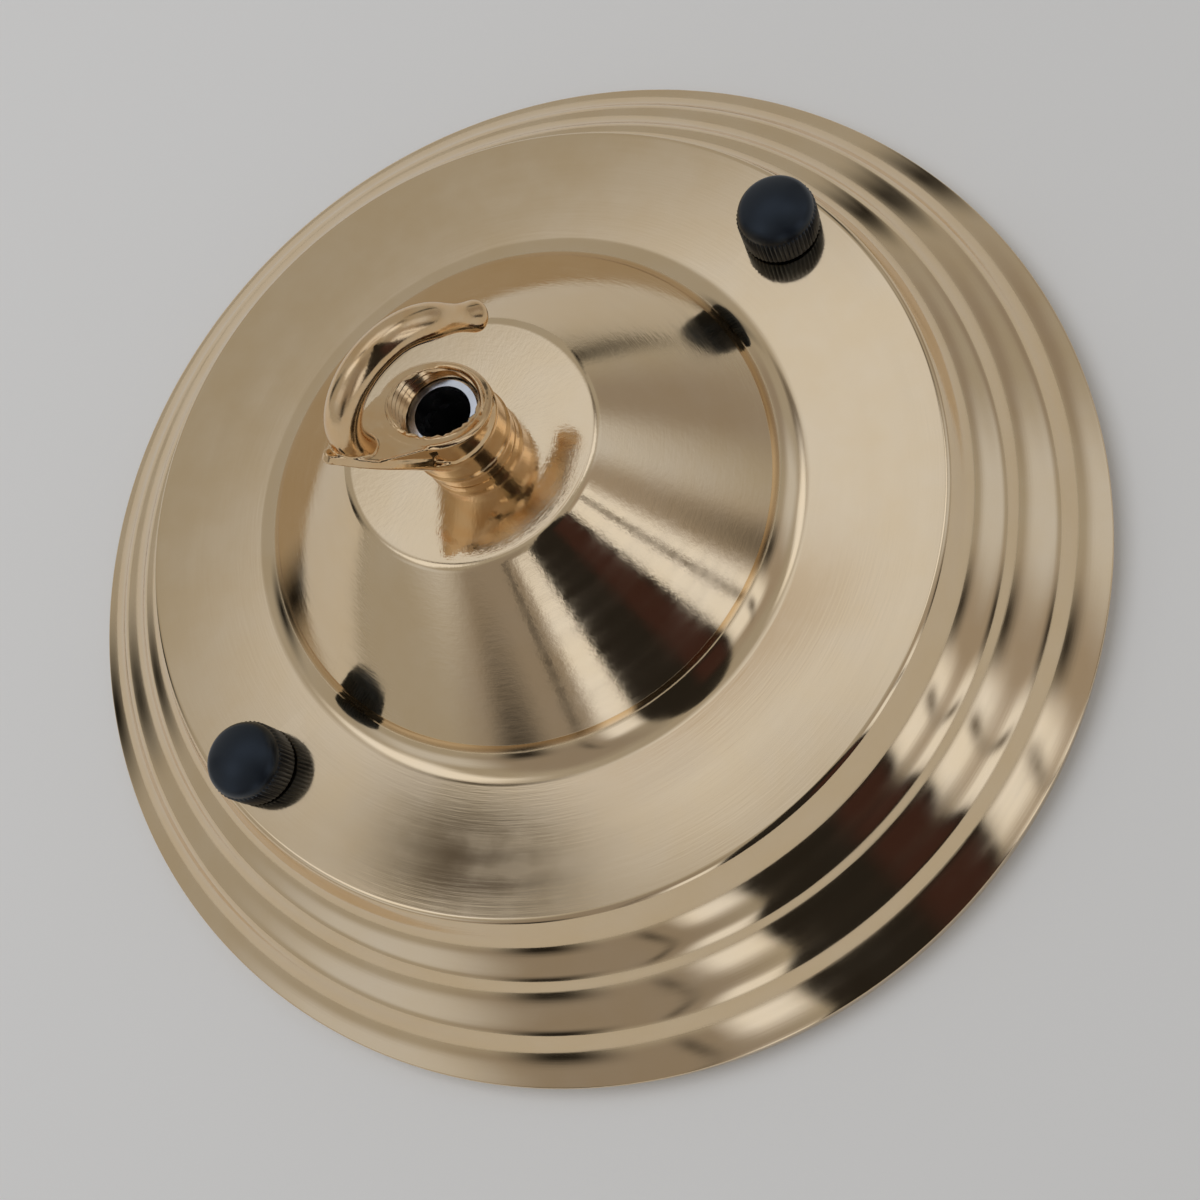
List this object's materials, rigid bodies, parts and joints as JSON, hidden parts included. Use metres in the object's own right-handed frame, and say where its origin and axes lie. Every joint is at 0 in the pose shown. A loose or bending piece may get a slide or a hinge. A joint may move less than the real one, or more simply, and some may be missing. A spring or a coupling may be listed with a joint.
{
  "type": "electrical ceiling rose",
  "caption": "Round stepped metal ceiling rose with a central open hook on a hollow nipple, held to a slotted strap by knurled thumb nuts.",
  "frame": {"origin": "centre of the rim on the ceiling plane", "axes": "+Z away from the ceiling along the cone to the hook; X through both studs"},
  "size_m": [0.15, 0.15, 0.0684],
  "materials": {
    "polished_gold": "polished pale gold plating with fine turning marks",
    "cast_gold": "plated casting, bright and slightly warmer than the canopy",
    "plated_steel": "bright zinc plating",
    "strap_steel": "zinc plated strip",
    "terminal_brass": "plain brass",
    "black_metal": "satin black, straight knurl"
  },
  "bodies": {
    "rose": {"canopy": "polished_gold", "hook": "cast_gold", "nipple": "plated_steel", "nipple_nut": "plated_steel", "toothed_washer": "plated_steel", "strap": "strap_steel", "earth_screw": "terminal_brass", "earth_cup_washer": "terminal_brass", "stud_left": "plated_steel", "stud_right": "plated_steel", "stud_nut_left": "plated_steel", "stud_nut_right": "plated_steel"},
    "thumb_nut_left": {"thumb_nut_left": "black_metal"},
    "thumb_nut_right": {"thumb_nut_right": "black_metal"}
  },
  "joints": [
    {"name": "thumb_nut_left_turn", "type": "hinge", "parent": "rose", "child": "thumb_nut_left", "pos_m": [-0.04975, 0, 0.0213], "axis": [0, 0, 1], "continuous": true},
    {"name": "thumb_nut_right_turn", "type": "hinge", "parent": "rose", "child": "thumb_nut_right", "pos_m": [0.04975, 0, 0.0213], "axis": [0, 0, 1], "continuous": true}
  ]
}
